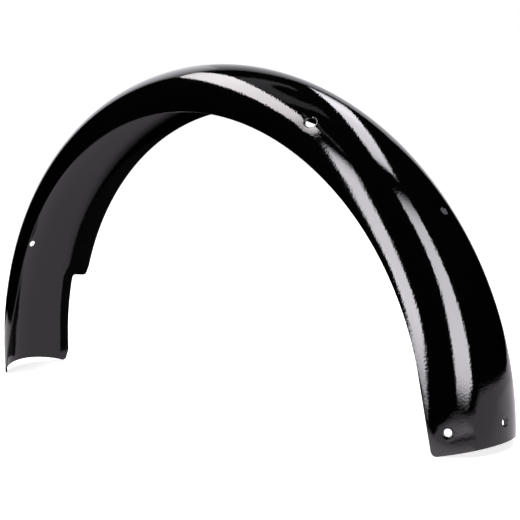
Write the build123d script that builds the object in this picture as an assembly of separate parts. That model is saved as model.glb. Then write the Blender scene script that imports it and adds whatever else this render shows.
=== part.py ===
from build123d import *
from math import cos, radians, sin, tan
import os

# A rear fender pressed from one sheet: a half-round channel bent to an arc over the wheel.
# The wheel's axle lies along Y, +X points to the fender's rear end and +Z is up.
# The two ends stand on the plane Z = 0, and the origin is the middle of that base. Millimetres and degrees.

# Arc and section
CROWN_RADIUS = 301.0  # axle to the outside of the crown
SECTION_RADIUS = 47.0  # outside of the half-round section
SHEET = 1.2

# Edge line of the two side walls, seen along the axle: an arc with a straight run to each end
WALL_DEPTH = 49.0  # the crown's radius less the edge arc's
EDGE_RISE = 7.4  # centre of the edge arc above the axle
REAR_RUN_ANGLE = 10.0  # where the edge leaves its arc, above level
FRONT_RUN_ANGLE = 20.5

# Ends: straight cuts that rise from the wall corners to the crown
AXLE_HEIGHT = 12.7  # axle above the corners, before they are rounded
REAR_LIFT = 8.7
FRONT_LIFT = 6.5
END_CORNER_RADIUS = 4.5

# Notch in the right-hand wall at the front end
NOTCH_DEPTH = 21.0  # from the edge arc's radius to that of the wall's edge below the step
NOTCH_HEIGHT = 85.0  # step above the axle
NOTCH_CORNER_RADIUS = 5.5

# Bolt holes, each square to the sheet; arc angles count from the rear, level with the axle
# Turns go round the section from the crown, to the right, or to each side where a hole has a twin
BOLT_HOLE_DIAMETER = 6.4
FRONT_CROWN_HOLE_ARC = 156.0
FRONT_CROWN_HOLE_TURN = 1.6
REAR_CROWN_HOLE_ARC = 35.8
END_CROWN_HOLE_ARC = 2.4
END_CROWN_HOLE_TURN = -5.3
LEFT_STAY_HOLE_ARC = 1.7
LEFT_STAY_HOLE_TURN = -66.8
RIGHT_STAY_HOLE_ARC = -0.5
RIGHT_STAY_HOLE_TURN = 69.5

# Larger holes high on both side walls, rounded at the outer rim
WALL_HOLE_ARC = 60.8
WALL_HOLE_TURN = 49.1
WALL_HOLE_DIAMETER = 9.2
WALL_HOLE_LIP_RADIUS = 0.6

# Room that cutting tools need beyond the sheet
CLEAR = 20.0

RING_RADIUS = CROWN_RADIUS - SECTION_RADIUS
EDGE_RADIUS = CROWN_RADIUS - WALL_DEPTH
NOTCH_EDGE_RADIUS = EDGE_RADIUS + NOTCH_DEPTH
OUTSIDE = CROWN_RADIUS + CLEAR
AXLE_PLANE = Plane.XZ


def sheet_point(arc, turn):
    """Point on the outside of the sheet, and the direction that is square to it there."""
    across = Vector(0, 1, 0)
    outward = Vector(cos(radians(arc)), 0, sin(radians(arc)))
    square = outward * cos(radians(turn)) + across * sin(radians(turn))
    return outward * RING_RADIUS + square * SECTION_RADIUS, square


def side_outline():
    """The sheet as the axle sees it: edge arc, straight runs and end cuts, open above the crown."""
    centre = Vector(0, EDGE_RISE)
    rear_top = centre + Vector(EDGE_RADIUS, 0).rotate(Axis.Z, REAR_RUN_ANGLE)
    front_top = centre + Vector(EDGE_RADIUS, 0).rotate(Axis.Z, 180 - FRONT_RUN_ANGLE)
    rear_drop = rear_top.Y + AXLE_HEIGHT
    front_drop = front_top.Y + AXLE_HEIGHT
    rear_corner = rear_top + Vector(rear_drop * tan(radians(REAR_RUN_ANGLE)), -rear_drop)
    front_corner = front_top - Vector(front_drop * tan(radians(FRONT_RUN_ANGLE)), front_drop)
    rear_slope = REAR_LIFT / (CROWN_RADIUS - rear_corner.X)
    front_slope = FRONT_LIFT / (CROWN_RADIUS + front_corner.X)
    rear_out = Vector(OUTSIDE, rear_corner.Y + rear_slope * (OUTSIDE - rear_corner.X))
    front_out = Vector(-OUTSIDE, front_corner.Y + front_slope * (OUTSIDE + front_corner.X))
    edge = [
        Line(rear_out, rear_corner),
        Line(rear_corner, rear_top),
        ThreePointArc(rear_top, centre + Vector(0, EDGE_RADIUS), front_top),
        Line(front_top, front_corner),
        Line(front_corner, front_out),
    ]
    above = Polyline(front_out, (-OUTSIDE, OUTSIDE), (OUTSIDE, OUTSIDE), rear_out)
    face = make_face(edge + above.edges())
    corners = [nearest_vertex(face, rear_corner), nearest_vertex(face, front_corner)]
    return fillet(corners, END_CORNER_RADIUS)


def nearest_vertex(face, point):
    """The corner of a flat outline that lies at a point."""
    return face.vertices().sort_by_distance(point)[0]


def front_edge_at(height, inset):
    """Where the front edge line, moved into the sheet by an inset, has a height; and the way from there to the edge."""
    lean = radians(FRONT_RUN_ANGLE)
    radius = EDGE_RADIUS + inset
    rise = height - EDGE_RISE
    if rise > radius * sin(lean):
        across = (radius**2 - rise**2) ** 0.5
        return Vector(-across, height), Vector(across, -rise) / radius
    across = radius / cos(lean) - rise * tan(lean)
    return Vector(-across, height), Vector(cos(lean), -sin(lean))


def notched_outline(outline):
    """The side outline with the step cut into its front wall, rounded at both corners."""
    reach = Pos(-OUTSIDE / 2, NOTCH_HEIGHT - OUTSIDE / 2) * Rectangle(OUTSIDE, OUTSIDE)
    cut = Circle(NOTCH_EDGE_RADIUS) & reach
    inside = Vector(-((NOTCH_EDGE_RADIUS**2 - NOTCH_HEIGHT**2) ** 0.5), NOTCH_HEIGHT)
    cut = fillet(nearest_vertex(cut, inside), NOTCH_CORNER_RADIUS)
    middle, to_edge = front_edge_at(NOTCH_HEIGHT + NOTCH_CORNER_RADIUS, NOTCH_CORNER_RADIUS)
    foot = middle + Vector(0, -NOTCH_CORNER_RADIUS)
    side = middle + to_edge * NOTCH_CORNER_RADIUS
    beyond = middle + (foot + side - middle * 2) * 2
    tip = make_face(Polyline(middle, foot, beyond, side, middle, close=False).edges())
    tip = tip - Pos(middle) * Circle(NOTCH_CORNER_RADIUS)
    return outline - cut - tip


def bent_channel():
    """The half-round channel: a hollow ring, trimmed along the side outlines of its two walls."""
    section = Pos(RING_RADIUS, 0) * (Circle(SECTION_RADIUS) - Circle(SECTION_RADIUS - SHEET))
    ring = revolve(section, Axis.Y)
    left = side_outline()
    right = notched_outline(left)
    reach = SECTION_RADIUS + CLEAR
    keep = extrude(AXLE_PLANE * left, reach) + extrude(AXLE_PLANE * right, -reach)
    return ring & keep


def drill(sheet, arc, turn, diameter):
    """The sheet with a round hole square to it."""
    point, square = sheet_point(arc, turn)
    return sheet - Plane(point, z_dir=square) * Cylinder(diameter / 2, CLEAR)


def lipped_hole(sheet, arc, turn):
    """The sheet with a larger hole, rounded where the outside of the sheet runs into it."""
    sheet = drill(sheet, arc, turn, WALL_HOLE_DIAMETER)
    outer_rim = sheet.edges().sort_by_distance(sheet_point(arc, turn)[0])[0]
    return fillet(outer_rim, WALL_HOLE_LIP_RADIUS)


def fender_shell():
    """The finished sheet, standing on its two ends."""
    sheet = bent_channel()
    sheet = lipped_hole(sheet, WALL_HOLE_ARC, -WALL_HOLE_TURN)
    sheet = lipped_hole(sheet, WALL_HOLE_ARC, WALL_HOLE_TURN)
    sheet = drill(sheet, LEFT_STAY_HOLE_ARC, LEFT_STAY_HOLE_TURN, BOLT_HOLE_DIAMETER)
    sheet = drill(sheet, RIGHT_STAY_HOLE_ARC, RIGHT_STAY_HOLE_TURN, BOLT_HOLE_DIAMETER)
    sheet = drill(sheet, FRONT_CROWN_HOLE_ARC, FRONT_CROWN_HOLE_TURN, BOLT_HOLE_DIAMETER)
    sheet = drill(sheet, REAR_CROWN_HOLE_ARC, 0, BOLT_HOLE_DIAMETER)
    sheet = drill(sheet, END_CROWN_HOLE_ARC, END_CROWN_HOLE_TURN, BOLT_HOLE_DIAMETER)
    return Pos(0, 0, -sheet.bounding_box().min.Z) * sheet


os.makedirs("parts", exist_ok=True)
shell = fender_shell()
export_step(shell, "parts/fender_shell.step")
print("fender_shell", shell.bounding_box().size, "volume", round(shell.volume))
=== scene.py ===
# %% [markdown]
# # A rear fender in gloss black
# The real thing is one sheet of steel. It was cut to an outline, pressed into a half-round channel
# that follows the wheel, punched for its bolts and then enamelled black, inside and out. This
# lesson takes the same steps: a flat blank is cut and punched, its rims are rounded, a Geometry
# Nodes tree presses it and gives it a procedural paint, and a small studio lights it.

from math import acos, atan2, ceil, cos, exp, pi, radians, sin, sqrt, tan

import bmesh
import bpy
from mathutils import Matrix, Vector, kdtree
from mathutils.geometry import delaunay_2d_cdt


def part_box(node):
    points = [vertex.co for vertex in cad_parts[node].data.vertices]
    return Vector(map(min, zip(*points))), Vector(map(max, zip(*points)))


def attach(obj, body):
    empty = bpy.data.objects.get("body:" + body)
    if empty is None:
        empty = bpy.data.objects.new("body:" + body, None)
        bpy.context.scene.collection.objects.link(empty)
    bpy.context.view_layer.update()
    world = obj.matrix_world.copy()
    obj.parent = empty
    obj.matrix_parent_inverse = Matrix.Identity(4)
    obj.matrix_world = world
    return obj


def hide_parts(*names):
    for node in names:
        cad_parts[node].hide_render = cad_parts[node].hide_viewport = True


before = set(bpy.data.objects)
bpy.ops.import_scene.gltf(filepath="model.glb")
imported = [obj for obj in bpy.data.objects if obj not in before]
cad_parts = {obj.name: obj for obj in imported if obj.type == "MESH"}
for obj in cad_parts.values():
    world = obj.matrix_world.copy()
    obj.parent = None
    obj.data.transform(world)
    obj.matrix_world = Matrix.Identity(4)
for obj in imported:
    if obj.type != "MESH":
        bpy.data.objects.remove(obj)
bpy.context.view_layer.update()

# %% [markdown]
# ## Sizes
# All lengths are metres, as Blender expects, and angles are degrees until a formula needs radians.
# The crown is the highest line of the channel. The wheel's axle runs along Y, and its height is
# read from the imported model, so that this sheet lies exactly where the solid does.

# %% Sizes of the sheet
CROWN_RADIUS = 0.301
SECTION_RADIUS = 0.047
RING_RADIUS = CROWN_RADIUS - SECTION_RADIUS
SHEET = 0.0012
AXLE_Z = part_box("fender_shell")[1].z - CROWN_RADIUS
print("axle", round(AXLE_Z * 1000, 2), "mm above the floor")

# %% [markdown]
# ## Arithmetic on sockets
# Both the press and the paint are formulas. Adding each Math node by hand hides the formula, so
# this small class wraps a socket: the usual signs then add the Math nodes, and one method adds any
# other node.


# %% A socket that can be added and multiplied
class Wire:
    """One value in a node tree."""

    def __init__(self, tree, socket=None):
        self.tree = tree
        self.socket = socket

    def node(self, kind, settings=None, values=None, output=0):
        """Adds a node of any kind: its settings first, then the values or wires of its sockets."""
        made = self.tree.nodes.new(kind)
        for name, value in (settings or {}).items():
            if name == "stops":
                self.fill_ramp(made.color_ramp.elements, value)
            else:
                setattr(made, name, value)
        for name, value in (values or {}).items():
            if isinstance(value, Wire):
                self.tree.links.new(value.socket, made.inputs[name])
            else:
                made.inputs[name].default_value = value
        return Wire(self.tree, made.outputs[output] if len(made.outputs) else None)

    def fill_ramp(self, stops, levels):
        """Sets a ramp's grey stops, of which a new ramp has two."""
        for i, (place, level) in enumerate(levels):
            stop = stops[i] if i < 2 else stops.new(place)
            stop.position = place
            stop.color = (level, level, level, 1)

    def math(self, operation, *others):
        """This value first, as in this - other."""
        values = dict(enumerate((self,) + others))
        return self.node("ShaderNodeMath", {"operation": operation}, values)

    def flipped(self, operation, other):
        """This value last, as in 1 - this."""
        return self.node("ShaderNodeMath", {"operation": operation}, {0: other, 1: self})

    def __add__(self, other):
        return self.math("ADD", other)

    def __radd__(self, other):
        return self.flipped("ADD", other)

    def __sub__(self, other):
        return self.math("SUBTRACT", other)

    def __rsub__(self, other):
        return self.flipped("SUBTRACT", other)

    def __mul__(self, other):
        return self.math("MULTIPLY", other)

    def __rmul__(self, other):
        return self.flipped("MULTIPLY", other)

    def __truediv__(self, other):
        return self.math("DIVIDE", other)

    def __rtruediv__(self, other):
        return self.flipped("DIVIDE", other)


print("sockets can be used in formulas")

# %% [markdown]
# ## Gloss black enamel
# Stove enamel is a smooth dielectric film over black. What tells it from plastic is orange peel: a
# faint, millimetre-sized waviness that frays the edges of each reflected lamp. A noise texture on
# Object coordinates drives a very small bump, a finer one adds the grain of the film, and a broad
# one lets the roughness and the black drift a little. A Principled shader with a low roughness is
# film enough; a coat on top of it would only mirror everything twice.

# %% The enamel's numbers
PEEL_SCALE, GRAIN_SCALE, CLOUD_SCALE = 650.0, 900.0, 22.0
PEEL_SHARE = 0.85
PEEL_STRENGTH = 0.26
PEEL_DEPTH = 0.0002
DEEP_BLACK = (0.0004, 0.0004, 0.0005, 1)
CLOUDED_BLACK = (0.0009, 0.0009, 0.001, 1)
LEAST_ROUGHNESS, ROUGHNESS_DRIFT = 0.035, 0.025
FILM_IOR = 1.5
print("orange peel about", round(1000 / PEEL_SCALE, 1), "mm from wave to wave")


# %% The enamel's nodes
def bare_material(name):
    """A material with an empty tree, and the wire that its nodes start from."""
    material = bpy.data.materials.new(name)
    material.use_nodes = True
    material.node_tree.nodes.clear()
    return material, Wire(material.node_tree)


def enamel(name):
    """Gloss black paint with orange peel."""
    material, start = bare_material(name)
    place = start.node("ShaderNodeTexCoord", output="Object")

    def noise(scale, detail, roughness=0.5):
        values = {"Vector": place, "Scale": scale, "Detail": detail, "Roughness": roughness}
        return start.node("ShaderNodeTexNoise", None, values)

    peel = noise(PEEL_SCALE, detail=1.5, roughness=0.4)
    grain = noise(GRAIN_SCALE, detail=1.0)
    cloud = noise(CLOUD_SCALE, detail=2.0)
    height = peel * PEEL_SHARE + grain * (1 - PEEL_SHARE)
    bump = {"Strength": PEEL_STRENGTH, "Distance": PEEL_DEPTH, "Height": height}
    waves = start.node("ShaderNodeBump", None, bump)
    blacks = {"Factor": cloud, 6: DEEP_BLACK, 7: CLOUDED_BLACK}
    tone = start.node("ShaderNodeMix", {"data_type": "RGBA"}, blacks, output=2)
    gloss = LEAST_ROUGHNESS + cloud * ROUGHNESS_DRIFT
    finish = {"Base Color": tone, "Roughness": gloss, "IOR": FILM_IOR, "Normal": waves}
    film = start.node("ShaderNodeBsdfPrincipled", None, finish)
    start.node("ShaderNodeOutputMaterial", None, {"Surface": film})
    return material


black_enamel = enamel("black_enamel")
print("paint", black_enamel.name, len(black_enamel.node_tree.nodes), "nodes")

# %% [markdown]
# ## The flat blank
# A press shop starts from a flat blank, and so does this mesh. Booleans could cut the edges and the
# holes out of a bent channel, but they leave uneven rims, while on the flat each rim is a plain
# loop. On the blank, X is the way round the wheel and Y the way round the section, both as lengths
# at the crown. The side walls end on a line that is simple in the wheel's own plane: an arc with
# straight runs and sloped end cuts. So that line is drawn there first, as points (x, z) about the
# axle, and each point is then carried to the blank.


# %% Lines in the wheel's plane
def stretch(start, end, step):
    """Points from start towards end, without the end."""
    count = max(1, ceil((end - start).length / step))
    return [start.lerp(end, i / count) for i in range(count)]


def swing(centre, radius, begin, end, step):
    """Points on an arc, without its end; angles in radians from +X."""
    count = max(1, ceil(abs(end - begin) * radius / step))
    angles = [begin + (end - begin) * i / count for i in range(count)]
    return [centre + Vector((cos(a), sin(a))) * radius for a in angles]


def rounded(before, corner, after, radius, count=7):
    """The arc that rounds a corner, with both of its ends."""
    inward = (before - corner).normalized()
    onward = (after - corner).normalized()
    half = inward.angle(onward) / 2
    centre = corner + (inward + onward).normalized() * (radius / sin(half))
    first = corner + inward * (radius / tan(half)) - centre
    last = corner + onward * (radius / tan(half)) - centre
    turn = first.angle_signed(last)
    return [centre + Matrix.Rotation(-turn * i / count, 2) @ first for i in range(count + 1)]


print("line helpers ready")

# %% Straight runs
EDGE_RADIUS = 0.252
EDGE_RISE = 0.0074
REAR_RUN_ANGLE = 10.0
FRONT_RUN_ANGLE = 20.5
CORNER_DROP = 0.0127
edge_centre = Vector((0, EDGE_RISE))
rear_lean, front_lean = radians(REAR_RUN_ANGLE), radians(FRONT_RUN_ANGLE)


def straight_run(lean, side):
    """Where the edge leaves its arc for a straight run, and the corner that the run goes to."""
    top = edge_centre + Vector((side * cos(lean), sin(lean))) * EDGE_RADIUS
    drop = top.y + CORNER_DROP
    return top, top + Vector((side * drop * tan(lean), -drop))


rear_top, rear_corner = straight_run(rear_lean, 1)
front_top, front_corner = straight_run(front_lean, -1)
print("wall corners", rear_corner * 1000, front_corner * 1000)

# %% End cuts
REAR_LIFT = 0.0087
FRONT_LIFT = 0.0065


def along_cut(corner, lift, radius):
    """The point of a sloped end cut that lies at a radius from the axle."""
    side = 1 if corner.x > 0 else -1
    slope = lift / (CROWN_RADIUS - abs(corner.x))
    base = corner.y - slope * abs(corner.x)
    square = 1 + slope * slope
    reach = (-slope * base + sqrt(square * radius**2 - base**2)) / square
    return Vector((side * reach, base + slope * reach))


rear_crown = along_cut(rear_corner, REAR_LIFT, CROWN_RADIUS)
front_crown = along_cut(front_corner, FRONT_LIFT, CROWN_RADIUS)
print("crown ends", rear_crown * 1000, front_crown * 1000)

# %% [markdown]
# ## The two edge lines
# Both walls share the arc and the rear end. At the front, the left wall runs on to a rounded
# corner, while the right wall has a step: a level cut, rounded outside and inside, and a shallower
# wall below it. The right edge also dips by a couple of millimetres over a short stretch.

# %% From the wheel's plane to the blank
EDGE_STEP = 0.0016


def turn_of(point):
    """How far round the section a point of the wheel's plane lies, in radians."""
    return acos(max(-1.0, min(1.0, (point.length - RING_RADIUS) / SECTION_RADIUS)))


def on_blank(point, side):
    """A point of the wheel's plane, on the left (-1) or right (1) half of the blank."""
    bend = atan2(point.x, point.y)
    return Vector((CROWN_RADIUS * bend, side * SECTION_RADIUS * turn_of(point)))


def end_points(corner, lift, furthest):
    """Points of an end cut from the crown out to a turn, without the last."""
    count = ceil(furthest * SECTION_RADIUS / EDGE_STEP)
    turns = [furthest * i / count for i in range(count)]
    return [along_cut(corner, lift, RING_RADIUS + SECTION_RADIUS * cos(t)) for t in turns]


print("edge points about", EDGE_STEP * 1000, "mm apart")

# %% Rear end and arc, the same on both walls
END_CORNER_RADIUS = 0.0045
rear_round = rounded(rear_crown, rear_corner, rear_top, END_CORNER_RADIUS)
rear_part = end_points(rear_corner, REAR_LIFT, turn_of(rear_round[0])) + rear_round[:-1]
rear_part += stretch(rear_round[-1], rear_top, EDGE_STEP)
rear_part += swing(edge_centre, EDGE_RADIUS, rear_lean, pi - front_lean, EDGE_STEP)
print("shared edge", len(rear_part), "points")

# %% Plain front end on the left
front_round = rounded(front_top, front_corner, front_crown, END_CORNER_RADIUS)
front_end = front_round + end_points(front_corner, FRONT_LIFT, turn_of(front_round[-1]))[::-1]
left_part = stretch(front_top, front_round[0], EDGE_STEP) + front_end
print("plain front end", len(left_part), "points")

# %% Stepped front end on the right
NOTCH_EDGE_RADIUS = 0.2716
NOTCH_HEIGHT = 0.085
NOTCH_CORNER_RADIUS = 0.0055
run_at_step = EDGE_RADIUS / cos(front_lean) - (NOTCH_HEIGHT - EDGE_RISE) * tan(front_lean)
step_outer = Vector((-run_at_step, NOTCH_HEIGHT))
step_inner = Vector((-sqrt(NOTCH_EDGE_RADIUS**2 - NOTCH_HEIGHT**2), NOTCH_HEIGHT))
downward = Vector((-step_inner.y, step_inner.x))
outer_round = rounded(front_top, step_outer, step_inner, NOTCH_CORNER_RADIUS)
inner_round = rounded(step_outer, step_inner, step_inner + downward, NOTCH_CORNER_RADIUS)
run = (front_corner - front_top).normalized()
passed = front_top.dot(run)
run_length = sqrt(NOTCH_EDGE_RADIUS**2 - front_top.length_squared + passed**2) - passed
foot = front_top + run * run_length
begin = atan2(inner_round[-1].y, inner_round[-1].x)
end = atan2(foot.y, foot.x) % (2 * pi)
right_part = stretch(front_top, outer_round[0], EDGE_STEP) + outer_round
right_part += stretch(outer_round[-1], inner_round[0], EDGE_STEP)[1:] + inner_round[:-1]
right_part += swing(Vector((0, 0)), NOTCH_EDGE_RADIUS, begin, end, EDGE_STEP)
right_part += stretch(foot, front_round[0], EDGE_STEP) + front_end
print("stepped front end", len(right_part), "points")

# %% The outline of the blank
SAG = 0.0022
SAG_ARC, SAG_SPREAD = radians(72), radians(11)


def deepened(point):
    """A point of the right edge, lowered a little where it shows through the left wall hole."""
    away = (atan2(point.y, point.x) - SAG_ARC) / SAG_SPREAD
    return point * (1 - SAG * exp(-away * away) / point.length)


left_line = [on_blank(p, -1) for p in rear_part + left_part]
right_line = [on_blank(deepened(p), 1) for p in rear_part] + [on_blank(p, 1) for p in right_part]
outline = left_line + right_line[-2:0:-1]
print("outline", len(outline), "points")

# %% [markdown]
# ## Punched holes
# Five bolt holes and two larger ones go through the sheet. A circle on the sheet is a slightly
# stretched circle on the blank, because the blank is drawn at the crown's length. Rings of points
# around each hole keep the triangles small there. Each loop carries the rounding of its rim: thick
# enamel rounds the cut edges a little, and the larger holes have a real lip.

# %% Where the holes are
BOLT_HOLE_RADIUS = 0.0032
WALL_HOLE_RADIUS = 0.0046
CROWN_HOLES = [(156.0, 1.6), (35.8, 0.0), (2.4, -5.3)]
LEFT_STAY_HOLE, RIGHT_STAY_HOLE = (1.7, -66.8), (-0.5, 69.5)
BOLT_HOLES = CROWN_HOLES + [LEFT_STAY_HOLE, RIGHT_STAY_HOLE]
WALL_HOLE_ARC, WALL_HOLE_TURN = 60.8, 49.1
WALL_HOLES = [(WALL_HOLE_ARC, -WALL_HOLE_TURN), (WALL_HOLE_ARC, WALL_HOLE_TURN)]


def hole_place(arc, turn):
    """A hole on the blank, from its arc above the axle's level and its turn from the crown."""
    return Vector((CROWN_RADIUS * radians(90 - arc), SECTION_RADIUS * radians(turn)))


print(len(BOLT_HOLES), "bolt holes and", len(WALL_HOLES), "wall holes")

# %% Hole rings
RIM_ROUNDING, BOLT_ROUNDING, LIP_ROUNDING = 0.00035, 0.0009, 0.0011
BOLT_RINGS = (0.0015, 0.0023, 0.0035)
WALL_RINGS = (0.0016, 0.0022, 0.003, 0.004, 0.0052, 0.0066, 0.0082, 0.01, 0.012)
BOLT_RING_POINTS, WALL_RING_POINTS = 36, 54
rims = [(outline, RIM_ROUNDING)]
extra = []


def ring(arc, turn, radius, count):
    """Blank points of a circle on the sheet."""
    middle = hole_place(arc, turn)
    stretch_along = CROWN_RADIUS / (RING_RADIUS + SECTION_RADIUS * cos(radians(turn)))
    angles = [2 * pi * i / count for i in range(count)]
    return [middle + Vector((radius * cos(a) * stretch_along, radius * sin(a))) for a in angles]


def punch(holes, radius, rounding, growths, count):
    """Adds the rim of each hole, and the rings of points around it."""
    for arc, turn in holes:
        rims.append((ring(arc, turn, radius, count), rounding))
        for growth in growths:
            extra.extend(ring(arc, turn, radius + growth, count))


punch(BOLT_HOLES, BOLT_HOLE_RADIUS, BOLT_ROUNDING, BOLT_RINGS, BOLT_RING_POINTS)
punch(WALL_HOLES, WALL_HOLE_RADIUS, LIP_ROUNDING, WALL_RINGS, WALL_RING_POINTS)
print(len(rims) - 1, "holes,", len(extra), "ring points")

# %% [markdown]
# ## Rim profiles
# Every loop runs with the sheet on its right, so one formula moves any of them into the sheet. A
# rim's profile goes from the outer face round a quarter circle, down the cut and round a smaller
# quarter to the inner face. A Bevel modifier would round all rims alike, so these rows are drawn.

# %% Moving a loop and drawing a profile
RIM_STEPS, LIP_STEPS = 3, 6
TOUCHING = 1e-7


def inset(loop, distance):
    """The loop moved into the sheet."""
    moved = []
    for i, here in enumerate(loop):
        come = (here - loop[i - 1]).normalized()
        go = (loop[(i + 1) % len(loop)] - here).normalized()
        aside = Vector((come.y + go.y, -come.x - go.x))
        moved.append(here + aside * (2 * distance / aside.length_squared))
    return moved


def profile(rounding):
    """Pairs of inset and depth from the outer face to the inner face."""
    count = LIP_STEPS if rounding == LIP_ROUNDING else RIM_STEPS
    quarter = [pi / 2 * i / count for i in range(count + 1)]
    small = min(RIM_ROUNDING / 2, SHEET - rounding)
    down = [(rounding * (1 - sin(a)), rounding * (1 - cos(a))) for a in quarter]
    back = [(small * (1 - cos(a)), SHEET - small * (1 - sin(a))) for a in quarter]
    if back[0][1] - down[-1][1] < TOUCHING:
        back = back[1:]
    return down + back + [(rounding, SHEET)]


print("a plain rim has", len(profile(RIM_ROUNDING)), "rows, a lip", len(profile(LIP_ROUNDING)))

# %% [markdown]
# ## Room for the rolled edge
# Along the notch the edge is rolled in a little, which shows as a black band of even width in the
# mirrored light. The press will make it; here the blank only gets rows of points beside the notch,
# to bend along.

# %% Rows beside the notch
ROLL_WIDTH = 0.0116
ROLL_ROWS = 8
ROW_CLEARANCE = 0.85
step_points = {tuple(on_blank(p, 1)) for p in right_part[: -len(front_end)]}
for row in range(1, ROLL_ROWS + 2):
    distance = ROLL_WIDTH * row / ROLL_ROWS
    for here, there in zip(outline, inset(outline, distance)):
        if tuple(here) in step_points:
            if min((there - p).length for p in right_line) > ROW_CLEARANCE * distance:
                extra.append(there)
print("points on the blank beside rims", len(extra))

# %% [markdown]
# ## Filling the blank
# The inside is filled with an even triangular lattice, kept clear of the rims and the rings, and
# all of it is joined by a constrained Delaunay triangulation, which keeps the rims' edges and makes
# good triangles.

# %% Lattice
LATTICE = 0.0027
LATTICE_CLEARANCE = 0.62
loops = [inset(loop, rounding) for loop, rounding in rims]
fixed = [p for loop in loops for p in loop] + extra
near = kdtree.KDTree(len(fixed))
for i, p in enumerate(fixed):
    near.insert((p.x, p.y, 0), i)
near.balance()
row_height = LATTICE * sqrt(3) / 2
last_row = int(max(abs(p.y) for p in outline) / row_height)
last_column = int(max(abs(p.x) for p in outline) / LATTICE)
lattice = []
for row in range(-last_row, last_row + 1):
    for column in range(-last_column, last_column + 1):
        spot = Vector(((column + 0.5 * (row % 2)) * LATTICE, row * row_height))
        if near.find((spot.x, spot.y, 0))[2] > LATTICE_CLEARANCE * LATTICE:
            lattice.append(spot)
print("lattice", len(lattice), "points")

# %% Triangles
INSIDE_ONLY = 1
points = fixed + lattice
edges = []
first = 0
for loop in loops:
    edges += [(first + i, first + (i + 1) % len(loop)) for i in range(len(loop))]
    first += len(loop)
spots, _, triangles, sources, *_ = delaunay_2d_cdt(points, edges, [], INSIDE_ONLY, TOUCHING)
found = {source: i for i, origin in enumerate(sources) for source in origin}
print(len(points), "points in,", len(triangles), "triangles out")

# %% Two faces of the plate
HOLE_SHARE = 0.9


def in_hole(spot):
    """Whether a point of the blank lies in one of the holes."""
    for loop in loops[1:]:
        middle = sum(loop, Vector((0, 0))) / len(loop)
        if (spot - middle).length < HOLE_SHARE * (loop[0] - middle).length:
            return True
    return False


plate = bmesh.new()
outer = [plate.verts.new((p.x, p.y, 0)) for p in spots]
inner = [plate.verts.new((p.x, p.y, -SHEET)) for p in spots]
for triangle in triangles:
    if not in_hole(sum((spots[i] for i in triangle), Vector((0, 0))) / 3):
        plate.faces.new([outer[i] for i in triangle])
        plate.faces.new([inner[i] for i in reversed(triangle)])
print("two faces of", len(plate.faces) // 2, "triangles")

# %% Rims of the plate
first = 0
for loop, rounding in rims:
    count = len(loop)
    corners = [found[first + i] for i in range(count)]
    rows = [[outer[i] for i in corners]]
    for shift, depth in profile(rounding)[1:-1]:
        rows.append([plate.verts.new((p.x, p.y, -depth)) for p in inset(loop, shift)])
    rows.append([inner[i] for i in corners])
    for upper, lower in zip(rows, rows[1:]):
        for i in range(count):
            after = (i + 1) % count
            plate.faces.new((upper[i], upper[after], lower[after], lower[i]))
    first += count
bmesh.ops.delete(plate, geom=[v for v in plate.verts if not v.link_faces], context="VERTS")
bmesh.ops.recalc_face_normals(plate, faces=plate.faces[:])
blank_mesh = bpy.data.meshes.new("fender_blank")
plate.to_mesh(blank_mesh)
plate.free()
print("plate", len(blank_mesh.vertices), "points", len(blank_mesh.polygons), "faces")

# %% [markdown]
# ## The press
# A main shape that follows a rule is a good case for Geometry Nodes. Two Simple Deform modifiers
# could bend the plate as well, but a formula gives both bends at once, exactly. Set Position takes
# each point of the plate round the section and round the wheel; its depth in the plate becomes its
# depth in the sheet. Punching and tight screws drew the sheet in a little around the wall and stay
# holes, which bends the reflections there: a bell curve of the distance from each hole. The rolled
# edge is a slope that sets in at its width from the notch; the notch's inner corner is round, and
# so are its lines of distance.

# %% The tree's inputs
wall_place = hole_place(WALL_HOLE_ARC, WALL_HOLE_TURN)
left_stay_place = hole_place(*LEFT_STAY_HOLE)
right_stay_place = hole_place(*RIGHT_STAY_HOLE)
PRESS_SIZES = {
    "Crown Radius": CROWN_RADIUS,
    "Section Radius": SECTION_RADIUS,
    "Axle Height": AXLE_Z,
    "Wall Along": wall_place.x,
    "Wall Across": wall_place.y,
    "Wall Draw": 0.0004,
    "Wall Reach": 0.0075,
    "Left Stay Along": left_stay_place.x,
    "Left Stay Across": left_stay_place.y,
    "Right Stay Along": right_stay_place.x,
    "Right Stay Across": right_stay_place.y,
    "Stay Draw": 0.0007,
    "Stay Reach": 0.0042,
    "Notch Radius": NOTCH_EDGE_RADIUS,
    "Notch Height": NOTCH_HEIGHT,
    "Notch Corner": NOTCH_CORNER_RADIUS,
    "Roll Width": ROLL_WIDTH,
    "Roll Blend": 0.0012,
    "Roll Slope": 0.19,
}
press = bpy.data.node_groups.new("press_fender", "GeometryNodeTree")
press.interface.new_socket("Geometry", in_out="INPUT", socket_type="NodeSocketGeometry")
socket_names = {}
for label in PRESS_SIZES:
    made = press.interface.new_socket(label, in_out="INPUT", socket_type="NodeSocketFloat")
    socket_names[label] = made.identifier
press.interface.new_socket("Geometry", in_out="OUTPUT", socket_type="NodeSocketGeometry")
inlet = press.nodes.new("NodeGroupInput")
outlet = press.nodes.new("NodeGroupOutput")
size = {label: Wire(press, inlet.outputs[label]) for label in PRESS_SIZES}
print("press inputs", list(size))


# %% How far the holes are drawn in
def split(wire):
    """The three parts of a vector."""
    made = wire.node("ShaderNodeSeparateXYZ", None, {0: wire})
    sockets = made.socket.node.outputs
    return [Wire(wire.tree, sockets[i]) for i in range(3)]


def bell(along, across, reach):
    """One at a place of the blank, and nothing beyond its reach."""
    beyond_x = (flat_x - along) / reach
    beyond_y = (across - flat_y) / reach
    return (0 - beyond_x * beyond_x - beyond_y * beyond_y).math("EXPONENT")


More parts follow.
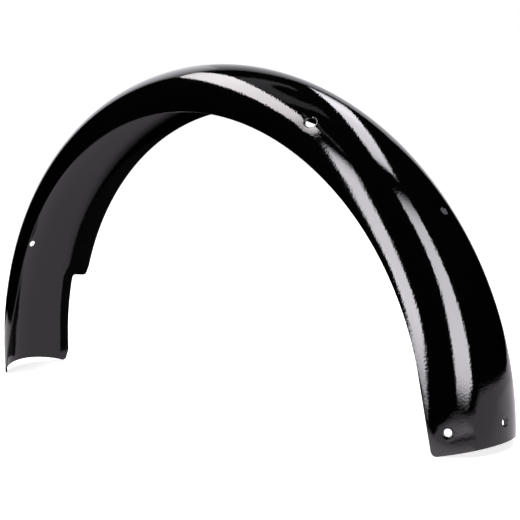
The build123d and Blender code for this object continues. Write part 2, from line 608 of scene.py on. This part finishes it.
start = Wire(press)
flat_x, flat_y, flat_z = split(start.node("GeometryNodeInputPosition"))
walls = bell(size["Wall Along"], size["Wall Across"], size["Wall Reach"])
walls = walls + bell(size["Wall Along"], 0 - size["Wall Across"], size["Wall Reach"])
stays = bell(size["Left Stay Along"], size["Left Stay Across"], size["Stay Reach"])
stays = stays + bell(size["Right Stay Along"], size["Right Stay Across"], size["Stay Reach"])
drawn = walls * size["Wall Draw"] + stays * size["Stay Draw"]
print("drawn-in holes", len(press.nodes), "nodes so far")

# %% How far the notch's edge is rolled
LEAST_STEEPNESS = 0.3
round_section = flat_y / size["Section Radius"]
round_wheel = flat_x / size["Crown Radius"]
ring_radius = size["Crown Radius"] - size["Section Radius"]
face = ring_radius + size["Section Radius"] * round_section.math("COSINE")
steepness = round_section.math("SINE").math("MAXIMUM", LEAST_STEEPNESS)
from_edge = (face - size["Notch Radius"]) / steepness + size["Notch Corner"]
from_edge = from_edge.math("MAXIMUM", 0.0)
from_step = face * round_wheel.math("COSINE") - size["Notch Height"] + size["Notch Corner"]
from_step = from_step.math("MAXIMUM", 0.0)
from_notch = (from_edge * from_edge + from_step * from_step).math("SQRT") - size["Notch Corner"]
within = (size["Roll Width"] - from_notch).math("MAXIMUM", 0.0)
blended = within.math("MINIMUM", size["Roll Blend"])
front_right = flat_y.math("GREATER_THAN", 0.0) * flat_x.math("LESS_THAN", 0.0)
rolled = blended * blended / size["Roll Blend"] / 2 + within - blended
rolled = rolled * size["Roll Slope"] * front_right
print("rolled edge", len(press.nodes), "nodes so far")

# %% Bending the plate
level = size["Section Radius"] + flat_z - drawn - rolled
reach = ring_radius + level * round_section.math("COSINE")
bent = {
    0: reach * round_wheel.math("SINE"),
    1: level * round_section.math("SINE"),
    2: size["Axle Height"] + reach * round_wheel.math("COSINE"),
}
pressed = start.node("ShaderNodeCombineXYZ", None, bent)
flat = Wire(press, inlet.outputs[0])
moved = start.node("GeometryNodeSetPosition", None, {"Geometry": flat, "Position": pressed})
real = start.node("GeometryNodeRealizeInstances", None, {0: moved})
coat = {"Geometry": real, "Material": black_enamel}
painted = start.node("GeometryNodeSetMaterial", None, coat)
press.links.new(painted.socket, outlet.inputs[0])
print("tree", press.name, len(press.nodes), "nodes", len(press.links), "links")

# %% [markdown]
# ## Pressing
# The tree runs as a modifier on the plate. Weighted Normal follows it, so that the wide faces stay
# smooth right up to the narrow rims. The result is baked to plain geometry and measured.


# %% Press and bake
def placed(name, data):
    """A new object in the scene's own collection."""
    made = bpy.data.objects.new(name, data)
    bpy.context.scene.collection.objects.link(made)
    return made


sheet = placed("fender_sheet", blank_mesh)
blank_mesh.shade_smooth()
step = sheet.modifiers.new("press", "NODES")
step.node_group = press
for label, value in PRESS_SIZES.items():
    step[socket_names[label]] = value
step = sheet.modifiers.new("normals", "WEIGHTED_NORMAL")
step.keep_sharp = False
graph = bpy.context.evaluated_depsgraph_get()
result = sheet.evaluated_get(graph)
baked = bpy.data.meshes.new_from_object(result, preserve_all_data_layers=True, depsgraph=graph)
sheet.modifiers.clear()
sheet.data = baked
baked.name = "fender_sheet"
bpy.data.meshes.remove(blank_mesh)
print("materials", [m.name for m in baked.materials])

# %% Measuring the pressed sheet
probe = bmesh.new()
probe.from_mesh(baked)
open_edges = sum(not e.is_manifold for e in probe.edges)
volume = probe.calc_volume(signed=True)
probe.free()
triangle_count = sum(len(p.vertices) - 2 for p in baked.polygons)
print("sheet", len(baked.vertices), "points", triangle_count, "triangles")
print("open edges", open_edges, "volume", round(volume * 1e9), "mm3")

# %% Onto the frame
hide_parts("fender_shell")
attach(sheet, "root")
print("the sheet stands for fender_shell")

# %% [markdown]
# ## The studio
# Gloss black has no colour of its own to show: its shape is drawn by what it reflects. Two white
# strips above, along the view, and two upright panels beside the camera make the long highlights. A
# white backdrop lights the outline from behind, and faint marks on the ceiling show in the crown.
# The rest of the room is dark. Lamps would do for an even gloss, but only panels with outlines of
# their own can draw highlights of a given shape. All of it is staging.

# %% Directions and whites
VIEW_AZIMUTH = radians(40.879)
RIGHT = Vector((cos(VIEW_AZIMUTH), sin(VIEW_AZIMUTH), 0))
FORWARD = Vector((-sin(VIEW_AZIMUTH), cos(VIEW_AZIMUTH), 0))
UP = Vector((0, 0, 1))
STUDIO_WHITE = (1, 0.98, 1.035, 1)
WARM_WHITE = (1.02, 0.975, 0.985, 1)
TABLE_WHITE = (1.02, 0.955, 1.03, 1)
axle = Vector((0, 0, AXLE_Z))
print("the view goes along", FORWARD)


# %% Panels
def glow(name, levels, tint):
    """White light whose strength follows (height, strength) pairs along the panel's Y."""
    material, start = bare_material(name)
    low, high = levels[0][0], levels[-1][0]
    peak = max(strength for height, strength in levels)
    stops = [((height - low) / (high - low), strength / peak) for height, strength in levels]
    along = split(start.node("ShaderNodeTexCoord", output="Object"))[1]
    place = (along - low) / (high - low)
    ramp = start.node("ShaderNodeValToRGB", {"stops": stops}, {"Fac": place})
    light = start.node("ShaderNodeEmission", None, {"Color": tint, "Strength": ramp * peak})
    start.node("ShaderNodeOutputMaterial", None, {"Surface": light})
    return material


def panel(name, origin, across, along, corners, levels, tint=STUDIO_WHITE):
    """A flat light of any outline that only reflections see."""
    mesh = bpy.data.meshes.new(name)
    mesh.from_pydata([(a, b, 0) for a, b in corners], [], [list(range(len(corners)))])
    mesh.materials.append(glow(name, levels, tint))
    made = placed(name, mesh)
    facing = Matrix((across, along, across.cross(along))).transposed()
    made.matrix_world = Matrix.Translation(origin) @ facing.to_4x4()
    made.visible_camera = False
    made.visible_diffuse = False
    made.visible_transmission = False
    made.visible_shadow = False


print("panel helpers ready")

# %% Strips above
CEILING_HEIGHT = 1.2


def hang(name, corners, levels, tint=STUDIO_WHITE, lift=0.0):
    """A level panel above the fender; its Y runs along the view."""
    panel(name, axle + UP * CEILING_HEIGHT + UP * lift, RIGHT, FORWARD, corners, levels, tint)


hang(
    "left_strip",
    corners=[
        (-0.615, 0.9), (-0.43, 0.9), (-0.36, 0.65), (-0.318, 0.45), (-0.345, -0.49),
        (-0.71, -0.68), (-0.63, 0.4),
    ],
    levels=[
        (-0.68, 1), (-0.58, 7), (-0.4, 13.2), (-0.2, 14.4), (0.05, 13.6), (0.3, 11.8),
        (0.51, 9.2), (0.9, 4.6),
    ],
    tint=WARM_WHITE,
)
hang(
    "right_strip",
    corners=[(0.335, 1.05), (0.6, 1.05), (0.555, -0.46), (0.322, -0.46), (0.345, 0.2)],
    levels=[
        (-0.46, 0), (-0.4, 10), (-0.3, 12), (-0.2, 12.5), (0.05, 11.2), (0.2, 10.3), (0.4, 9.9),
        (0.66, 7.7), (0.95, 3), (1.05, 0),
    ],
)
print("two strips", CEILING_HEIGHT, "m above the axle")

# %% Upright panels beside the camera
PANEL_DISTANCE = 1.3


def stand(name, azimuth, corners, levels):
    """An upright panel that faces the axle from an azimuth in degrees."""
    away = Vector((cos(radians(azimuth)), sin(radians(azimuth)), 0))
    panel(name, axle + away * PANEL_DISTANCE, UP.cross(away), UP, corners, levels)


stand(
    "right_panel",
    azimuth=-30,
    corners=[
        (-0.36, -0.12), (0.0, -0.12), (0.1, -0.03), (0.27, 0.05), (0.38, 0.3), (0.44, 0.7),
        (0.45, 1.3), (0.52, 1.6), (0.6, 2.05), (0.25, 1.95), (0.03, 1.75), (-0.02, 1.5),
        (-0.02, 1.0), (-0.03, 0.8), (-0.06, 0.6), (-0.15, 0.35), (-0.22, 0.2),
    ],
    levels=[
        (-0.11, 0), (-0.06, 2), (-0.01, 8), (0.05, 12.4), (0.2, 14), (0.9, 13), (1.33, 11.6),
        (1.6, 7.4), (1.81, 3), (2.03, 0.2),
    ],
)
stand(
    "left_panel",
    azimuth=-97,
    corners=[
        (-0.22, -0.33), (-0.17, -0.31), (-0.1, -0.26), (0.04, -0.17), (0.19, -0.07), (0.31, 0.03),
        (0.385, 0.16), (0.4, 0.33), (0.41, 0.6), (0.42, 1.0), (0.48, 1.3), (0.46, 1.55),
        (0.48, 1.7), (0.16, 1.7), (0.13, 1.45), (0.095, 1.0), (0.085, 0.72), (0.02, 0.5),
        (-0.02, 0.33), (-0.06, 0.18), (-0.09, 0.05), (-0.14, -0.03), (-0.2, -0.1), (-0.3, -0.16),
        (-0.33, -0.2), (-0.33, -0.24), (-0.28, -0.29),
    ],
    levels=[
        (-0.33, 0), (-0.3, 2.5), (-0.25, 8), (-0.12, 12.7), (0.05, 15.4), (0.3, 14.6), (1.02, 14),
        (1.29, 11.3), (1.44, 6.4), (1.65, 0),
    ],
)
print("two upright panels", PANEL_DISTANCE, "m from the axle")

# %% Backdrop
BACKDROP_DISTANCE, MIDDLE_DISTANCE = 1.5, 1.49


def back(name, distance, corners, levels):
    """An upright panel behind the fender, square to the view."""
    panel(name, axle + FORWARD * distance, RIGHT, UP, corners, levels)


back(
    "backdrop",
    BACKDROP_DISTANCE,
    corners=[(-0.95, -0.1), (1.1, -0.1), (1.1, 1.2), (0.6, 1.3), (0.1, 1.7), (-0.95, 1.75)],
    levels=[(-0.1, 0.9), (1.0, 0.9), (1.4, 0.65), (1.75, 0.35)],
)
back(
    "backdrop_middle",
    MIDDLE_DISTANCE,
    corners=[(-0.6, -0.1), (-0.25, -0.1), (-0.15, 0.9), (-0.3, 1.5), (-0.6, 1.75), (-0.85, 1.6)],
    levels=[(-0.1, 0.9), (0.5, 1.1), (0.9, 1.4), (1.3, 1.35), (1.6, 0.85), (1.75, 0.3)],
)
print("backdrop", BACKDROP_DISTANCE, "m behind the axle")

# %% Faint marks on the ceiling
MARK_LIFT = 0.01
DISC_X, DISC_Y, DISC_RADIUS, DISC_CORNERS = 0.03, 0.18, 0.17, 32
patch = [(-0.3, -0.12), (0.1, -0.12), (0.1, 0.45), (-0.3, 0.45)]
hang("ceiling_patch", patch, [(-0.12, 0.4), (0.45, 0.4)], lift=MARK_LIFT)
line = [(-0.235, -0.3), (-0.265, -0.3), (-0.305, -0.72), (-0.275, -0.72)]
hang("ceiling_line", line, [(-0.72, 0.9), (-0.3, 0.9)], lift=MARK_LIFT)
angles = [2 * pi * i / DISC_CORNERS for i in range(DISC_CORNERS)]
disc = [(DISC_X + DISC_RADIUS * cos(a), DISC_Y + DISC_RADIUS * sin(a)) for a in angles]
hang("ceiling_disc", disc, [(0, 0), (1, 0.001)])

# %% [markdown]
# ## What the lower parts mirror
# The steep walls and the inside mirror the white table that the fender stands on. Towards the
# camera the white fades out along the fender's length; elsewhere it ends at a rim that the mirrored
# borders in the paint give. Thin layers on it are brighter near the rear end. Darker layers are
# painted shade: a painted shadow line beside the rear end, and contact shade where the front end
# stands.

# %% Mirrored table
TABLE = Vector((0, 0, -0.002))
LAYER = UP * 0.0003
NORTH = Vector((0, 1, 0))


def lay(name, corners, levels, layer=0, tint=TABLE_WHITE, north=NORTH):
    """A panel on the table, some layers up; its Y runs to the north given."""
    panel(name, TABLE + LAYER * layer, north.cross(UP), north, corners, levels, tint)


lay(
    "mirrored_table",
    corners=[
        (-0.7, -0.1), (-0.62, -0.21), (-0.6, -0.3), (-0.1, -0.3), (0.1, -0.12), (0.237, -0.106),
        (0.259, -0.145), (0.332, -0.2), (0.381, -0.235), (0.437, -0.255), (0.447, -0.21),
        (0.457, -0.175), (0.492, -0.157), (0.54, -0.137), (1.78, -0.32), (2.37, -0.1),
        (2.92, 0.29), (3.74, 1.02), (2.73, 1.24), (1.66, 1.08), (1.085, 1.04), (0.54, 0.8),
        (0.3, 0.8), (-0.08, 0.8), (-0.12, 0.17), (-0.209, 0.166), (-0.197, 0.138),
        (-0.199, 0.127), (-0.212, 0.116), (-0.26, 0.106), (-0.5, 0.106), (-0.86, 0.0),
    ],
    levels=[
        (-0.3, 0), (-0.26, 0.2), (-0.215, 0.47), (-0.18, 0.75), (-0.14, 0.92), (-0.1, 0.95),
        (1.3, 0.95),
    ],
)
print("mirrored table", round(-TABLE.z * 1000, 1), "mm below the floor")

# %% Brighter and darker layers
bright = [
    (0.285, -0.125), (0.33, -0.105), (0.375, -0.075), (0.4, -0.085), (0.405, -0.15),
    (0.37, -0.175), (0.3, -0.15),
]
lay("bright_spot", bright, [(-0.18, 0.95), (-0.15, 1.4), (-0.11, 2.2), (-0.07, 1.5)], layer=1)
# Painted shadow: a dark line on the mirrored table beside the rear end, which the paint reflects as
# shade.
shadow_line_corners = [
    (0.29, -0.101), (0.322, -0.092), (0.358, -0.064), (0.352, -0.056), (0.318, -0.081),
    (0.288, -0.09),
]
lay("painted_shadow_line", shadow_line_corners, [(-0.2, 0.2), (0, 0.2)], layer=2, tint=STUDIO_WHITE)
inward = Vector((-0.55, 0.835, 0)).normalized()
foot_rim = [(0.1, -0.228), (0.238, -0.228), (0.24, -0.16), (0.1, -0.16)]
foot_levels = [(-0.228, 0.95), (-0.22, 1.4), (-0.205, 1.85), (-0.195, 2.0), (-0.16, 2.0)]
lay("foot_glow", foot_rim, foot_levels, layer=1, north=inward)
side_rim = [(0.238, -0.228), (0.7, -0.228), (0.7, 0.15), (0.24, 0.15)]
side_levels = [
    (-0.228, 0.95), (-0.2, 1.1), (-0.17, 1.2), (-0.12, 1.35), (0.08, 1.3), (0.15, 0.95),
]
lay("side_glow", side_rim, side_levels, layer=1, north=inward)
shade = [(-0.31, -0.06), (-0.264, -0.06), (-0.264, -0.02), (-0.31, -0.02)]
lay("contact_shade", shade, [(-0.06, 0.05), (-0.02, 0.05)], layer=2, tint=STUDIO_WHITE)
print("layers on the table every", round(LAYER.z * 1000, 2), "mm")

# %% [markdown]
# ## Floor, background and lamp
# The floor that the camera sees is plain white with a soft shadow, and reflections pass through it.
# One large lamp overhead throws the shadow and stays out of the reflections, which the panels alone
# draw. The world is white to the camera and dark to reflections.

# %% Floor
FLOOR_REACH = 30
FLOOR_GREY, FLOOR_LIFT = 0.8, 0.7


def white_floor(name):
    """White paper, lifted towards the background's white where the camera sees it."""
    material, start = bare_material(name)
    camera = start.node("ShaderNodeLightPath", output="Is Camera Ray")
    grey = (FLOOR_GREY, FLOOR_GREY, FLOOR_GREY, 1)
    paper = start.node("ShaderNodeBsdfDiffuse", None, {"Color": grey})
    lift = {"Color": (1, 1, 1, 1), "Strength": camera * FLOOR_LIFT}
    white = start.node("ShaderNodeEmission", None, lift)
    both = start.node("ShaderNodeAddShader", None, {0: paper, 1: white})
    start.node("ShaderNodeOutputMaterial", None, {"Surface": both})
    return material


floor_mesh = bpy.data.meshes.new("floor")
square = ((-1, -1), (1, -1), (1, 1), (-1, 1))
floor_corners = [(x * FLOOR_REACH, y * FLOOR_REACH, 0) for x, y in square]
floor_mesh.from_pydata(floor_corners, [], [(0, 1, 2, 3)])
floor_mesh.materials.append(white_floor("white_floor"))
floor = placed("floor", floor_mesh)
floor.visible_glossy = False
print("floor", floor.dimensions)

# %% Lamp
LAMP_HEIGHT = 2.0
lamp = bpy.data.lights.new("overhead_lamp", "AREA")
lamp.shape = "DISK"
lamp.size = 2.4
lamp.energy = 80.0
overhead = placed("overhead_lamp", lamp)
overhead.location = axle + UP * LAMP_HEIGHT
overhead.visible_glossy = False
overhead.visible_camera = False
print("lamp", lamp.energy, "W")

# %% World
ROOM_LIGHT = 0.4
world = bpy.data.worlds.new("studio")
bpy.context.scene.world = world
world.use_nodes = True
world.node_tree.nodes.clear()
start = Wire(world.node_tree)
camera = start.node("ShaderNodeLightPath", output="Is Camera Ray")
glossy = start.node("ShaderNodeLightPath", output="Is Glossy Ray")
strength = camera + (1 - camera) * (1 - glossy) * ROOM_LIGHT
room = start.node("ShaderNodeBackground", None, {"Color": (1, 1, 1, 1), "Strength": strength})
start.node("ShaderNodeOutputWorld", None, {"Surface": room})
bpy.context.scene.view_settings.view_transform = "Standard"
print("world", world.name)

# %% [markdown]
# ## Camera
# The camera stands low to the fender's rear left, about 1.1 m away, with a portrait lens, and leans
# a little. Its place was found by fitting the fender's outline to the photograph.

# %% Camera
CAMERA_DISTANCE = 1.13482
CAMERA_TILT, CAMERA_LEAN = radians(7.429), radians(-1.794)
AIM = Vector((0.048655, 0, 0.124345))
target = axle + AIM
location = target + (UP * sin(CAMERA_TILT) - FORWARD * cos(CAMERA_TILT)) * CAMERA_DISTANCE
lens = bpy.data.cameras.new("photo_camera")
lens.lens = 87.03
lens.sensor_width = 36.0
viewer = placed("photo_camera", lens)
look = (target - location).to_track_quat("-Z", "Y").to_matrix()
look = look @ Matrix.Rotation(CAMERA_LEAN, 3, "Z")
viewer.matrix_world = Matrix.Translation(location) @ look.to_4x4()
bpy.context.scene.camera = viewer
print("camera at", [round(v, 4) for v in location])
